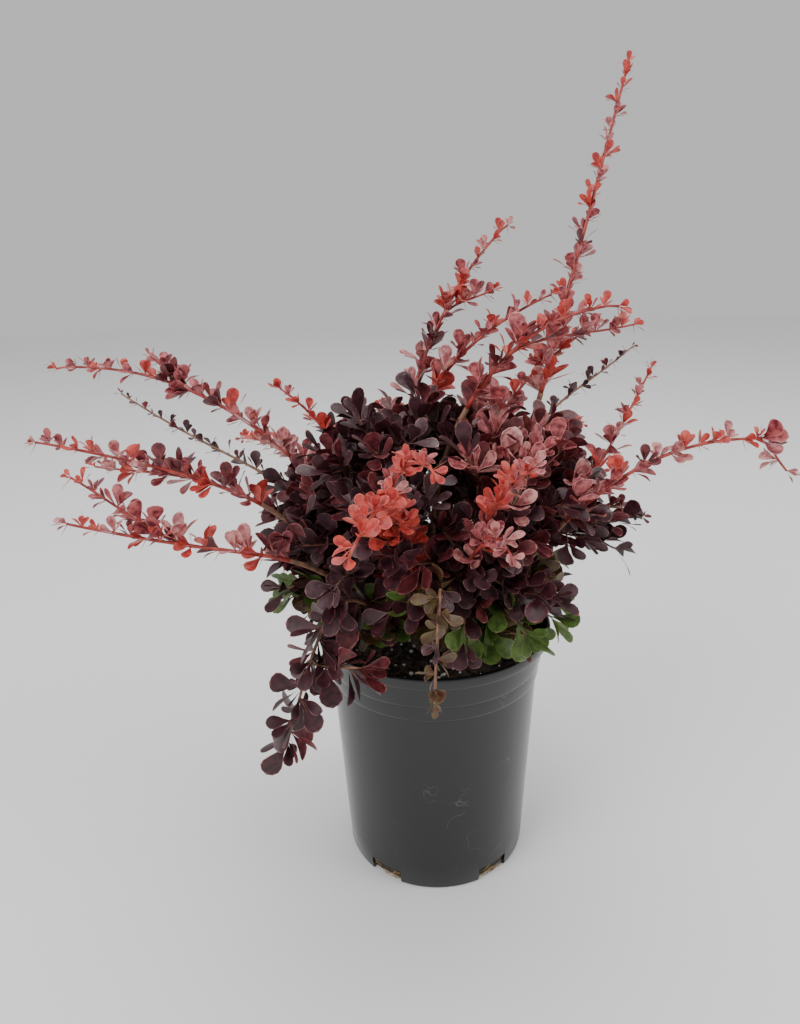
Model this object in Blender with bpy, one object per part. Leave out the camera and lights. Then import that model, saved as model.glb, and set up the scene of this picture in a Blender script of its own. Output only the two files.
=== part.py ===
"""Potted barberry shrub: a black nursery pot, its soil, and a low arching plant.

Units are metres, +Z is up, the camera of the picture stands on the -Y side.
The origin is the middle of the pot's flat underside.
"""
import math
import random

import bmesh
import bpy
import numpy as np
from mathutils import Vector
from mathutils.bvhtree import BVHTree

for old in list(bpy.data.objects):
    bpy.data.objects.remove(old, do_unlink=True)

# Pot sizes: a 165 mm lip and a thin tapering wall with stepped ring lines
POT_HEIGHT = 0.183
LIP_RADIUS = 0.0825
LIP_DROP = 0.0075
FOOT_RADIUS = 0.0662
WAIST_RADIUS = 0.0737
LOWER_RING = 0.1477
UPPER_RING = 0.1590
POT_SIDES = 40
FLOOR_THICK = 0.0030
WALL_OUTER = [(FOOT_RADIUS - 0.0022, 0.0), (FOOT_RADIUS, 0.0024),
              (WAIST_RADIUS, LOWER_RING - 0.0010), (WAIST_RADIUS + 0.0012, LOWER_RING),
              (WAIST_RADIUS + 0.0017, UPPER_RING - 0.0010), (WAIST_RADIUS + 0.0029, UPPER_RING),
              (0.0774, 0.1660), (0.0786, 0.1745), (LIP_RADIUS - 0.0006, POT_HEIGHT - LIP_DROP),
              (LIP_RADIUS, POT_HEIGHT - LIP_DROP + 0.0012), (LIP_RADIUS, POT_HEIGHT - 0.0012),
              (LIP_RADIUS - 0.0012, POT_HEIGHT)]
WALL_INNER = [(0.0796, POT_HEIGHT), (0.0768, 0.1740),
              (0.0746, 0.1590), (0.0722, 0.1470), (FOOT_RADIUS - 0.0016, FLOOR_THICK)]

# Drain notches cut up into the foot, five of them, two facing the camera
NOTCH_COUNT = 5
NOTCH_TURN = math.radians(36.0)
NOTCH_WIDTH = 0.0250
NOTCH_HEIGHT = 0.0110
NOTCH_INNER = 0.0605

# Soil fills the pot to 20 mm under the rim
SOIL_TOP = 0.1625
SOIL_LUMP = 0.0016
SOIL_RINGS = [0.018, 0.045]
GAP = 0.0003

# The woody stump: a flat cut on the soil, a flare, and a round crown the limbs spring from
STUMP_MIDDLE = Vector((-0.0008, 0.0006, 0.1765))
STUMP_RADIUS = 0.0130
STUMP_FLARE = 0.0165
STUMP_SIDES = 16
START_SPREAD = math.radians(23.0)

# Limbs: name, bough thickness at the stump, thickness at the shoulder, thickness at the tip,
# shoulder (where foliage starts), tip, arch of the outer part
CANES = [
    ('left_top', 0.0021, 0.0015, 0.0008, (-0.088, 0.010, 0.301), (-0.260, 0.040, 0.363), 0.024),
    ('left_mid', 0.0021, 0.0015, 0.0008, (-0.109, -0.030, 0.287), (-0.243, -0.050, 0.335), 0.004),
    ('left_back', 0.0017, 0.0012, 0.0007, (-0.125, 0.070, 0.275), (-0.245, 0.120, 0.329), -0.004),
    ('left_low', 0.0021, 0.0015, 0.0008, (-0.088, -0.070, 0.264), (-0.207, -0.110, 0.305), -0.003),
    ('top_whip', 0.0024, 0.0018, 0.0008, (0.074, 0.020, 0.338), (0.131, 0.060, 0.546), -0.003),
    ('top_left', 0.0020, 0.0014, 0.0008, (-0.015, 0.045, 0.333), (0.063, 0.090, 0.450), 0.018),
    ('top_fork', 0.0022, 0.0017, 0.0008, (0.020, -0.020, 0.343), (0.110, -0.050, 0.406), 0.018),
    ('top_lean', 0.0019, 0.0014, 0.0008, (0.000, 0.020, 0.346), (0.085, 0.020, 0.407), 0.008),
    ('right_thin', 0.0017, 0.0011, 0.0007, (0.096, 0.090, 0.314), (0.176, 0.150, 0.350), -0.002),
    ('right_up', 0.0019, 0.0013, 0.0008, (0.116, 0.030, 0.277), (0.169, 0.080, 0.348), -0.003),
    ('right_long', 0.0021, 0.0015, 0.0008, (0.077, -0.050, 0.273), (0.202, -0.060, 0.328), 0.020),
    ('back_left', 0.0019, 0.0013, 0.0008, (-0.085, 0.095, 0.265), (-0.165, 0.190, 0.270), 0.008),
    ('back_mid', 0.0019, 0.0013, 0.0008, (-0.015, 0.110, 0.285), (-0.040, 0.235, 0.285), 0.010),
    ('back_right', 0.0019, 0.0013, 0.0008, (0.070, 0.100, 0.275), (0.150, 0.205, 0.270), 0.008),
]
SHOOTS = [
    ('top_mid', 0.0015, 0.0012, 0.0008, (0.046, 0.020, 0.325), (0.114, 0.030, 0.386), 0.006),
    ('left_short', 0.0014, 0.0011, 0.0008, (-0.072, 0.030, 0.316), (-0.106, 0.030, 0.350), 0.002),
    ('right_dark', 0.0014, 0.0011, 0.0008, (0.095, -0.010, 0.262), (0.150, 0.000, 0.256), 0.008),
    ('front_coral', 0.0015, 0.0012, 0.0008, (-0.023, -0.110, 0.309), (-0.046, -0.200, 0.316), 0.010),
    ('front_cross', 0.0015, 0.0011, 0.0007, (-0.030, -0.105, 0.309), (-0.003, -0.160, 0.345), 0.014),
    ('front_right', 0.0014, 0.0011, 0.0007, (0.028, -0.095, 0.299), (0.046, -0.145, 0.342), 0.003),
    ('front_low', 0.0014, 0.0011, 0.0007, (0.023, -0.090, 0.275), (0.034, -0.155, 0.296), 0.010),
    ('left_droop', 0.0015, 0.0012, 0.0008, (-0.063, -0.085, 0.241), (-0.098, -0.090, 0.139), 0.006),
    ('front_droop', 0.0014, 0.0011, 0.0008, (-0.001, -0.115, 0.260), (-0.006, -0.132, 0.192), 0.004),
    ('back_droop', 0.0015, 0.0012, 0.0008, (0.030, 0.110, 0.235), (0.050, 0.160, 0.150), 0.008),
]
# A limb stops short of its tip by the reach of the last leaf
LAST_LEAF = 0.007
# Side branches seen in the picture: limb, how far along its outer part, tip
FORKS = [
    ('left_top', 0.42, (-0.191, 0.050, 0.365)),
    ('left_mid', 0.25, (-0.219, -0.010, 0.305)),
    ('left_low', 0.45, (-0.206, -0.080, 0.320)),
    ('top_left', 0.42, (0.044, 0.040, 0.405)),
    ('top_fork', 0.35, (0.122, -0.020, 0.388)),
    ('right_long', 0.93, (0.207, -0.060, 0.306)),
    ('left_droop', 0.35, (-0.047, -0.100, 0.204)),
]

# The dense heart is a dome of short sprays, with a skirt of low green sprays under it
HEART_COUNT = 10
HEART_MIDDLE = np.array((0.010, 0.000, 0.238))
HEART_RADII = np.array((0.124, 0.110, 0.110))
HEART_TWIGS = 6
SKIRT_COUNT = 6
SKIRT_REACH = 0.084
SKIRT_LEVEL = 0.210
SKIRT_TWIGS = 3
CORE_RADIUS = 0.030

# Leaves are flattened eight-sided blades, larger than life so that few fill the crown
LIMB_ROOM = 0.0048
LEAF_THICK = 0.0011
SINK = 0.0003
CLEAR = 0.0008
SEED = 7


def colour(name, rgb, rough=0.5):
    """A plain Principled material."""
    material = bpy.data.materials.new(name)
    material.use_nodes = True
    shader = material.node_tree.nodes['Principled BSDF']
    shader.inputs['Base Color'].default_value = (*rgb, 1.0)
    shader.inputs['Roughness'].default_value = rough
    return material


def solid(name, verts, faces, material, collection=None):
    """An object from plain vertices and faces, its normals turned outward."""
    mesh = bpy.data.meshes.new(name)
    mesh.from_pydata([tuple(map(float, v)) for v in verts], [], faces)
    work = bmesh.new()
    work.from_mesh(mesh)
    bmesh.ops.recalc_face_normals(work, faces=work.faces)
    work.to_mesh(mesh)
    work.free()
    mesh.materials.append(material)
    made = bpy.data.objects.new(name, mesh)
    (collection or bpy.context.scene.collection).objects.link(made)
    return made


def lathe(profile, sides):
    """Vertices and faces of a closed solid turned round Z; a zero radius is a pole."""
    verts = []
    rings = []
    for radius, height in profile:
        if radius < 1e-6:
            rings.append([len(verts)])
            verts.append((0.0, 0.0, height))
            continue
        rings.append(list(range(len(verts), len(verts) + sides)))
        for k in range(sides):
            turn = 2.0 * math.pi * k / sides
            verts.append((radius * math.cos(turn), radius * math.sin(turn), height))
    faces = []
    for low, high in zip(rings, rings[1:]):
        for k in range(sides):
            n = (k + 1) % sides
            if len(low) == 1:
                faces.append((low[0], high[n], high[k]))
            elif len(high) == 1:
                faces.append((low[k], low[n], high[0]))
            else:
                faces.append((low[k], low[n], high[n], high[k]))
    return verts, faces


def unit(v):
    """The vector brought to length one."""
    return v / max(float(np.linalg.norm(v)), 1e-9)


def across(v):
    """A steady pair of directions square to v."""
    aside = np.cross(v, (0.0, 0.0, 1.0))
    if np.linalg.norm(aside) < 0.2:
        aside = np.cross(v, (0.0, 1.0, 0.0))
    aside = unit(aside)
    return aside, unit(np.cross(aside, v))


def hermite(start, end, leave, arrive, count):
    """Points on a smooth curve between two ends with given end slopes."""
    t = np.linspace(0.0, 1.0, count)[:, None]
    return ((2 * t ** 3 - 3 * t ** 2 + 1) * start + (t ** 3 - 2 * t ** 2 + t) * leave
            + (3 * t ** 2 - 2 * t ** 3) * end + (t ** 3 - t ** 2) * arrive)


def limb_line(start, heading, shoulder, tip, arch):
    """Centre line of a limb: out of the stump, through its shoulder, to its tip."""
    tip = tip - unit(tip - shoulder) * LAST_LEAF
    inner = float(np.linalg.norm(shoulder - start))
    outer = float(np.linalg.norm(tip - shoulder))
    lift = np.array((0.0, 0.0, 4.0 * arch))
    slope = (tip - shoulder) + lift
    first = hermite(start, shoulder, heading * inner, unit(slope) * inner * 0.9, 19)
    second = hermite(shoulder, tip, slope, (tip - shoulder) - lift, 22)
    return np.vstack([first, second[1:]]), 18


def tube(points, radii, sides, heading=None):
    """A closed tapering tube along points; its first cap can be set square to a heading."""
    points = [np.asarray(p) for p in points]
    verts = []
    faces = []
    aside = None
    for i, p in enumerate(points):
        ahead = unit(points[min(i + 1, len(points) - 1)] - points[max(i - 1, 0)])
        if i == 0 and heading is not None:
            ahead = heading
        if aside is None:
            aside, _ = across(ahead)
        aside = unit(aside - ahead * float(np.dot(aside, ahead)))
        other = np.cross(ahead, aside)
        for k in range(sides):
            turn = 2.0 * math.pi * k / sides
            verts.append(p + radii[i] * (math.cos(turn) * aside + math.sin(turn) * other))
    for i in range(len(points) - 1):
        for k in range(sides):
            n = (k + 1) % sides
            faces.append((i * sides + k, i * sides + n, (i + 1) * sides + n, (i + 1) * sides + k))
    faces.append(tuple(range(sides)))
    faces.append(tuple(range(len(verts) - sides, len(verts))))
    return verts, faces


def blade(root, ahead, face, length, width, blunt):
    """One leaf with a flat underside and a low rise on top, its root sunk into the twig.

    A blunt leaf has a spoon outline of five corners, a slight one a plain kite of four.
    """
    ahead = unit(ahead)
    side = unit(np.cross(ahead, face))
    face = np.cross(side, ahead)
    foot = root - ahead * SINK
    outline = [(0.0, 0.0), (0.62, 0.5), (0.95, 0.26), (0.95, -0.26), (0.62, -0.5)]
    if not blunt:
        outline = [(0.0, 0.0), (0.62, 0.5), (1.0, 0.0), (0.62, -0.5)]
    verts = [foot + ahead * (length * along_it) + side * (width * aside) for along_it, aside in outline]
    verts.append(foot + ahead * (length * 0.55) + face * LEAF_THICK)
    last = len(outline)
    faces = [(k, (k + 1) % last, last) for k in range(last)]
    faces.append(tuple(reversed(range(last))))
    return verts, faces


def blade_samples(verts):
    """Points spread over a leaf, the ones nearest the root first."""
    foot, left, right, top = verts[0], verts[1], verts[-2], verts[-1]
    tips = verts[2:-2]
    marks = [foot + (edge - foot) * t for t in (0.33, 0.66, 1.0) for edge in (left, top, right)]
    for tip in tips:
        marks += [tip, (left + tip) * 0.5, (right + tip) * 0.5, (top + tip) * 0.5]
    return np.array(marks)


def wall_radius(profile, height):
    """Radius of a pot profile at a height."""
    rows = sorted((z, r) for r, z in profile)
    return float(np.interp(height, [z for z, _ in rows], [r for _, r in rows]))


def off_the_pot(marks):
    """True when no mark touches the pot or the soil."""
    for x, y, z in marks:
        if z > POT_HEIGHT + 0.0010:
            continue
        away = math.hypot(x, y)
        rim = LIP_RADIUS if z > 0.172 else 0.0790
        if away > rim + 0.0012 and z > 0.004:
            continue
        if away < wall_radius(WALL_INNER, z) - 0.0012 and z > SOIL_TOP + SOIL_LUMP + 0.0006:
            continue
        return False
    return True


def span_distance(marks, starts, ends):
    """Least distance from every mark to every span, one row per mark."""
    lines = ends - starts
    length2 = np.maximum((lines ** 2).sum(1), 1e-12)
    to = marks[:, None, :] - starts[None, :, :]
    t = np.clip((to * lines[None]).sum(2) / length2, 0.0, 1.0)
    return np.linalg.norm(to - t[..., None] * lines[None], axis=2)


# Pot
plastic = colour('pot_plastic', (0.012, 0.012, 0.013), 0.25)
earth = colour('soil', (0.035, 0.026, 0.020), 0.95)
bark = colour('bark', (0.13, 0.07, 0.05), 0.8)
rose = colour('rose_leaf', (0.45, 0.06, 0.08), 0.5)
maroon = colour('maroon_leaf', (0.22, 0.03, 0.05), 0.5)
burgundy = colour('burgundy_leaf', (0.07, 0.015, 0.025), 0.5)
green = colour('green_leaf', (0.06, 0.14, 0.02), 0.5)

outline = [(0.0, 0.0)] + WALL_OUTER + WALL_INNER + [(0.0, FLOOR_THICK)]
pot = solid('pot', *lathe(outline, POT_SIDES), plastic)
cutters = bpy.data.collections.new('cutters')
bpy.context.scene.collection.children.link(cutters)
for k in range(NOTCH_COUNT):
    turn = -0.5 * math.pi + NOTCH_TURN + k * 2.0 * math.pi / NOTCH_COUNT
    out = np.array((math.cos(turn), math.sin(turn), 0.0))
    side = np.array((-math.sin(turn), math.cos(turn), 0.0))
    corners = []
    for far in (NOTCH_INNER, FOOT_RADIUS + 0.012):
        for wide in (-0.5, 0.5):
            for high in (-0.004, NOTCH_HEIGHT):
                corners.append(out * far + side * wide * NOTCH_WIDTH + np.array((0.0, 0.0, high)))
    sides = [(0, 1, 3, 2), (4, 6, 7, 5), (0, 4, 5, 1), (2, 3, 7, 6), (0, 2, 6, 4), (1, 5, 7, 3)]
    solid('notch', corners, sides, plastic, cutters)
cut = pot.modifiers.new('notches', 'BOOLEAN')
cut.operation = 'DIFFERENCE'
cut.operand_type = 'COLLECTION'
cut.collection = cutters
cut.solver = 'EXACT'
bpy.context.view_layer.update()
shaped = bpy.data.meshes.new_from_object(pot.evaluated_get(bpy.context.evaluated_depsgraph_get()))
pot.modifiers.clear()
pot.data = shaped
for old in list(cutters.objects):
    bpy.data.objects.remove(old, do_unlink=True)

# Soil, with a lumpy top and a flat seat for the stump
rng = random.Random(SEED)
soil_edge = [(wall_radius(WALL_INNER, z) - GAP - 0.0002, z) for z in (FLOOR_THICK + GAP, 0.1470, SOIL_TOP)]
soil_profile = [(0.0, FLOOR_THICK + GAP)] + soil_edge
soil_profile += [(r, SOIL_TOP) for r in reversed(SOIL_RINGS)] + [(0.0, SOIL_TOP)]
verts, faces = lathe(soil_profile, POT_SIDES)
lumpy = []
for x, y, z in verts:
    away = math.hypot(x, y)
    if z == SOIL_TOP and SOIL_RINGS[0] + 0.001 < away < SOIL_RINGS[-1] + 0.001:
        z += rng.uniform(-SOIL_LUMP, SOIL_LUMP)
    lumpy.append((x, y, z))
solid('soil', lumpy, faces, earth)

# Stump
stump_profile = [(0.0, SOIL_TOP + GAP), (STUMP_FLARE, SOIL_TOP + GAP), (STUMP_RADIUS + 0.0011, SOIL_TOP + 0.004),
                 (STUMP_RADIUS + 0.0002, SOIL_TOP + 0.009)]
for step in range(5):
    rise = math.radians(90.0 * step / 5.0)
    stump_profile.append((STUMP_RADIUS * math.cos(rise), STUMP_MIDDLE.z + STUMP_RADIUS * math.sin(rise)))
stump_profile.append((0.0, STUMP_MIDDLE.z + STUMP_RADIUS))
verts, faces = lathe(stump_profile, STUMP_SIDES)
leaning = []
for x, y, z in verts:
    share = min(1.0, max(0.0, (z - SOIL_TOP - GAP) / (STUMP_MIDDLE.z - SOIL_TOP - GAP)))
    leaning.append((x + STUMP_MIDDLE.x * share, y + STUMP_MIDDLE.y * share, z))
solid('stump', leaning, faces, bark)

# Every limb as one row: canes with a bough, shoots, heart sprays and skirt sprays
rows = []
for name, r0, r1, r2, shoulder, tip, arch in CANES:
    rows.append([name, 'cane', r0, r1, r2, np.array(shoulder), np.array(tip), arch])
for name, r0, r1, r2, shoulder, tip, arch in SHOOTS:
    rows.append([name, 'shoot', r0, r1, r2, np.array(shoulder), np.array(tip), arch])
for k in range(HEART_COUNT):
    level = 0.97 - 0.95 * k / (HEART_COUNT - 1)
    turn = k * math.radians(137.5) + 0.6
    flat = math.sqrt(1.0 - level * level)
    way = np.array((flat * math.cos(turn), flat * math.sin(turn), level))
    rows.append(['heart_%d' % (k + 1), 'heart', 0.0013, 0.0012, 0.0010,
                 HEART_MIDDLE + HEART_RADII * way * 0.42, HEART_MIDDLE + HEART_RADII * way * 0.90, 0.0])
for k in range(SKIRT_COUNT):
    turn = math.radians(-90.0 + 22.0) + k * 2.0 * math.pi / SKIRT_COUNT
    way = np.array((math.cos(turn), math.sin(turn), 0.0))
    high = np.array((0.0, 0.0, 1.0))
    rows.append(['skirt_%d' % (k + 1), 'skirt', 0.0012, 0.0011, 0.0009,
                 way * SKIRT_REACH * 0.55 + high * (SKIRT_LEVEL + 0.002), way * SKIRT_REACH + high * SKIRT_LEVEL, 0.003])

# Start directions on the stump, pushed apart until every limb has its own footing
middle = np.array(STUMP_MIDDLE)
heads = []
for row in rows:
    toward = row[5] - middle
    heads.append(unit(toward * (1.25, 1.25, 1.0)))
heads = np.array(heads)
for _ in range(600):
    for i in range(len(heads)):
        for j in range(i):
            cosine = float(np.dot(heads[i], heads[j]))
            if cosine > math.cos(START_SPREAD):
                away = unit(heads[i] - heads[j]) * 0.012
                heads[i] = unit(heads[i] + away)
                heads[j] = unit(heads[j] - away)
    heads[:, 2] = np.maximum(heads[:, 2], -0.12)
    heads /= np.linalg.norm(heads, axis=1)[:, None]

limbs = []
for row, head in zip(rows, heads):
    start = middle + head * (STUMP_RADIUS + GAP)
    line, split = limb_line(start, head, row[5], row[6], row[7])
    radii = np.interp(np.arange(len(line)), [0, split, len(line) - 1], row[2:5])
    limbs.append({'name': row[0], 'kind': row[1], 'line': line, 'split': split, 'radii': radii, 'head': head})

# Limbs that would touch are parted, the more the nearer to their middle
count = len(limbs[0]['line'])
places = np.vstack([limb['line'] for limb in limbs])
thick = np.concatenate([limb['radii'] for limb in limbs])
owner = np.repeat(np.arange(len(limbs)), count)
t = np.arange(count) / (count - 1.0)
ease = np.clip(np.minimum(t * 9.0 - 0.6, (1.0 - t) * 3.0 + 0.15), 0.0, 1.0)
ease = np.tile(ease, len(limbs))[:, None]
for _ in range(60):
    gap = places[:, None, :] - places[None, :, :]
    far = np.linalg.norm(gap, axis=2) + 1e-9
    need = thick[:, None] + thick[None, :] + LIMB_ROOM
    near = (far < need) & (owner[:, None] != owner[None, :])
    if not near.any():
        break
    push = np.where(near, (need - far) / far, 0.0)
    move = (gap * push[..., None]).sum(1) * 0.28
    places = places + move * ease
    soft = places.reshape(len(limbs), count, 3)
    soft[:, 2:-2] = soft[:, 2:-2] * 0.7 + (soft[:, 1:-3] + soft[:, 3:-1]) * 0.15
    places = soft.reshape(-1, 3)
for k, limb in enumerate(limbs):
    limb['line'] = places.reshape(len(limbs), count, 3)[k]

# The skeleton: spans of boughs, of mass stems and of their twigs, with who owns them
spans = []


def add_spans(owner_name, points, radii, bare):
    """Keep a polyline in the list every leaf is tested against.

    Its bare first share is an obstacle only; the leafy rest also claims the space round it.
    """
    last = len(points) - 1
    for k, (a, b, ra, rb) in enumerate(zip(points, points[1:], radii, radii[1:])):
        spans.append((owner_name, np.array(a), np.array(b), max(ra, rb), (k + 0.5) / last < bare))


def thin_out(line, radii, keep):
    """Fewer points along a line, its ends kept."""
    pick = np.linspace(0, len(line) - 1, keep).round().astype(int)
    return line[pick], radii[pick]


for limb in limbs:
    line, radii, split = limb['line'], limb['radii'], limb['split']
    if limb['kind'] == 'cane':
        points, thickness = thin_out(line[:split + 1], radii[:split + 1], 8)
        limb['bough'] = (points, thickness)
        add_spans(limb['name'] + '_bough', points, thickness, 1.0)
        stem, thickness = thin_out(line[split:], radii[split:], 7)
        stem[0] = stem[0] + unit(stem[1] - stem[0]) * GAP
        limb['stems'] = [(stem, thickness)]
        limb['leafy'] = [0.0]
    elif limb['kind'] == 'shoot':
        limb['stems'] = [thin_out(line, radii, 11)]
        limb['leafy'] = [0.28]
    else:
        limb['stems'] = [thin_out(line, radii, 8)]
        limb['leafy'] = [0.90]
    add_spans(limb['name'], *limb['stems'][0], limb['leafy'][0])


def room_for(name, marks, margin):
    """True when marks keep clear of all limbs and lie in the space of their own mass."""
    mine = span_distance(marks, own_starts, own_ends).min(1)
    gap_others = span_distance(marks, other_starts, other_ends)
    if (gap_others - other_radii[None, :]).min() < margin:
        return False
    rivals = gap_others[:, rival_mask]
    if rivals.shape[1] and (mine > rivals.min(1) - margin).any():
        return False
    return off_the_pot(marks)


def clear_of_limbs(marks, margin):
    """True when marks keep a margin from the limbs and twigs of every other mass."""
    return (span_distance(marks, other_starts, other_ends) - other_radii[None, :]).min() > margin


def take_sides(name):
    """Sort the spans into those of one mass and all the others."""
    own = [s for s in spans if s[0] == name]
    others = [s for s in spans if s[0] != name]
    return (np.array([s[1] for s in own]), np.array([s[2] for s in own]),
            np.array([s[1] for s in others]), np.array([s[2] for s in others]),
            np.array([s[3] for s in others]), np.array([not s[4] for s in others]))


def along(points, share):
    """Place and heading at a share of a polyline's length."""
    lengths = np.linalg.norm(np.diff(points, axis=0), axis=1)
    total = np.concatenate([[0.0], np.cumsum(lengths)])
    at = share * total[-1]
    i = min(int(np.searchsorted(total, at, side='right')) - 1, len(lengths) - 1)
    t = (at - total[i]) / max(lengths[i], 1e-9)
    return points[i] + (points[i + 1] - points[i]) * t, unit(points[i + 1] - points[i])


by_name = {limb['name']: limb for limb in limbs}

# Named forks first, then the seeded twigs of the heart and skirt sprays
for name, share, tip in FORKS:
    limb = by_name[name]
    stem = limb['stems'][0][0]
    start = 0.0 if limb['kind'] == 'cane' else 0.55
    root, ahead = along(stem, start + (1.0 - start) * share)
    tip = np.array(tip)
    reach = float(np.linalg.norm(tip - root))
    curve = hermite(root, tip, ahead * reach * 0.8, (tip - root), 5)
    radii = np.linspace(0.0013, 0.0009, 5)
    own_starts, own_ends, other_starts, other_ends, other_radii, rival_mask = take_sides(name)
    limb['stems'].append((curve, radii))
    limb['leafy'].append(0.12)
    add_spans(name, curve, radii, 0.12)

for limb in limbs:
    if limb['kind'] not in ('heart', 'skirt'):
        continue
    name = limb['name']
    stem = limb['stems'][0][0]
    tip = stem[-1]
    out = unit(tip - HEART_MIDDLE) if limb['kind'] == 'heart' else unit(tip * (1, 1, 0))
    aside, other = across(out)
    twigs = HEART_TWIGS if limb['kind'] == 'heart' else SKIRT_TWIGS
    for k in range(twigs):
        own_starts, own_ends, other_starts, other_ends, other_radii, rival_mask = take_sides(name)
        for attempt in range(8):
            turn = 2.0 * math.pi * (k + rng.uniform(-0.25, 0.25)) / twigs
            lean = rng.uniform(0.42, 0.62)
            root, ahead = along(stem, 0.50 + 0.38 * k / twigs)
            if limb['kind'] == 'heart':
                way = unit(out + (aside * math.cos(turn) + other * math.sin(turn)) * lean)
                goal = HEART_MIDDLE + HEART_RADII * way * rng.uniform(0.84, 0.98)
            else:
                goal = root + out * 0.026 + (aside * (-1) ** k * rng.uniform(0.5, 1.0)) * 0.034
                goal = goal + np.array((0.0, 0.0, rng.uniform(-0.010, 0.012)))
            reach = float(np.linalg.norm(goal - root))
            curve = hermite(root, goal, ahead * reach * 0.7, goal - root, 4)
            marks = np.vstack([curve[1:], (curve[1:] + curve[:-1]) * 0.5])
            if clear_of_limbs(marks, 0.0050) and off_the_pot(marks):
                radii = np.linspace(0.0013, 0.0010, 4)
                limb['stems'].append((curve, radii))
                limb['leafy'].append(0.40)
                add_spans(name, curve, radii, 0.40)
                break


def fuse(name, parts, material):
    """Join a stem with all that grows on it by one Boolean union, and keep one closed solid."""
    for solver, share in (('EXACT', 1.0), ('MANIFOLD', 1.0), ('EXACT', 0.8), ('MANIFOLD', 0.6)):
        growth = bpy.data.collections.new('growth')
        bpy.context.scene.collection.children.link(growth)
        kept = parts[:1] + parts[1:1 + int((len(parts) - 1) * share)]
        made = solid(name, *kept[0], material)
        for verts, faces in kept[1:]:
            solid('grown', verts, faces, material, growth)
        join = made.modifiers.new('union', 'BOOLEAN')
        join.operation = 'UNION'
        join.operand_type = 'COLLECTION'
        join.collection = growth
        join.solver = solver
        bpy.context.view_layer.update()
        graph = bpy.context.evaluated_depsgraph_get()
        mesh = bpy.data.meshes.new_from_object(made.evaluated_get(graph))
        made.modifiers.clear()
        made.data = mesh
        for old in list(growth.objects):
            bpy.data.objects.remove(old, do_unlink=True)
        bpy.data.collections.remove(growth)
        if keep_main_body(mesh):
            return made
        bpy.data.objects.remove(made, do_unlink=True)
    raise RuntimeError('no closed solid for ' + name)


def keep_main_body(mesh):
    """Drop every loose scrap and sealed hollow, and tell whether the rest is one closed solid."""
    work = bmesh.new()
    work.from_mesh(mesh)
    bmesh.ops.triangulate(work, faces=work.faces)
    islands = []
    left = set(work.faces)
    while left:
        seed_face = left.pop()
        group = {seed_face}
        queue = [seed_face]
        while queue:
            for edge in queue.pop().edges:
                for face in edge.link_faces:
                    if face in left:
                        left.discard(face)
                        group.add(face)
                        queue.append(face)
        islands.append(group)
    islands.sort(key=lambda g: -sum(f.calc_area() for f in g))
    scraps = [face for group in islands[1:] for face in group]
    bmesh.ops.delete(work, geom=scraps, context='FACES')
    closed = all(len(edge.link_faces) == 2 for edge in work.edges)
    closed = closed and all(len(vert.link_faces) > 0 for vert in work.verts)
    bmesh.ops.recalc_face_normals(work, faces=work.faces)
    closed = closed and work.calc_volume() > 0.0
    work.to_mesh(mesh)
    work.free()
    return closed and len(mesh.polygons) > 20


def core_ball(stem):
    """A coarse ball on the stem of a dense mass, as large as its own space allows."""
    best = (0.0, None)
    for share in np.linspace(0.50, 0.92, 12):
        hub, _ = along(stem, share)
        far = span_distance(hub[None, :], other_starts, other_ends)[0] - other_radii
        room = min(CORE_RADIUS, far.min() - 0.0015, far[rival_mask].min() * 0.5 - 0.0005)
        if room > best[0]:
            best = (room, hub)
    work = bmesh.new()
    bmesh.ops.create_icosphere(work, subdivisions=1, radius=best[0])
    verts = [best[1] + np.array(vert.co) for vert in work.verts]
    faces = [tuple(v.index for v in face.verts) for face in work.faces]
    work.free()
    return (verts, faces), best[1], best[0]


# Foliage sizes by kind: pitch of the leaves along a twig, length and width at the start of
# the leafy part, length and width at its tip
FOLIAGE = {
    'cane': (0.0110, 0.032, 0.0169, 0.014, 0.0078),
    'shoot': (0.0125, 0.032, 0.0169, 0.017, 0.0086),
    'droop': (0.0100, 0.027, 0.0190, 0.029, 0.0190),
    'heart': (0.0125, 0.040, 0.0245, 0.038, 0.0235),
    'skirt': (0.0150, 0.036, 0.0240, 0.034, 0.0220),
}
# Above one, the leaves of a cane crowd toward its shoulder and thin out toward its tip
CROWDING = {'cane': 1.35, 'shoot': 1.1, 'heart': 1.0, 'skirt': 1.0}
GOLDEN = math.radians(137.5)
UP = np.array((0.0, 0.0, 1.0))


def leaf_way(kind, drooping, place, ahead, turn):
    """Which way a leaf points and which way its upper face looks."""
    aside, other = across(ahead)
    radial = aside * math.cos(turn) + other * math.sin(turn)
    if kind == 'heart':
        outward = unit(place - HEART_MIDDLE)
        way = radial * 0.85 + outward * rng.uniform(0.25, 0.8) + ahead * 0.2
        way[2] = max(way[2], -0.25)
        return way, outward + radial * rng.uniform(-0.4, 0.4)
    outward = unit(place * (1, 1, 0))
    if kind == 'skirt':
        return radial * 0.8 + outward * 0.5 + UP * rng.uniform(-0.8, 0.1), UP * 0.6 + outward * 0.8
    if drooping:
        return radial * 0.9 + ahead * 0.5 + outward * 0.4, outward + radial * 0.3 + UP * 0.5
    return radial * 0.8 + ahead * 0.45 + UP * 0.55, ahead * 0.5 - radial * 0.8 + UP * 0.4




def tree_of(solids):
    """One search tree over several solids, for exact crossing tests."""
    verts = []
    faces = []
    for some, sides in solids:
        faces += [tuple(k + len(verts) for k in face) for face in sides]
        verts += [Vector(v) for v in some]
    return BVHTree.FromPolygons(verts, faces)


# Every limb a little swollen, so that a leaf that clears it keeps its distance
limb_trees = {}
for limb in limbs:
    swollen = [tube(points, radii + CLEAR, 5) for points, radii in limb['stems']]
    if 'bough' in limb:
        swollen.append(tube(limb['bough'][0], limb['bough'][1] + CLEAR, 5))
        limb_trees[limb['name'] + '_bough'] = tree_of(swollen[-1:])
    limb_trees[limb['name']] = tree_of(swollen)

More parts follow.
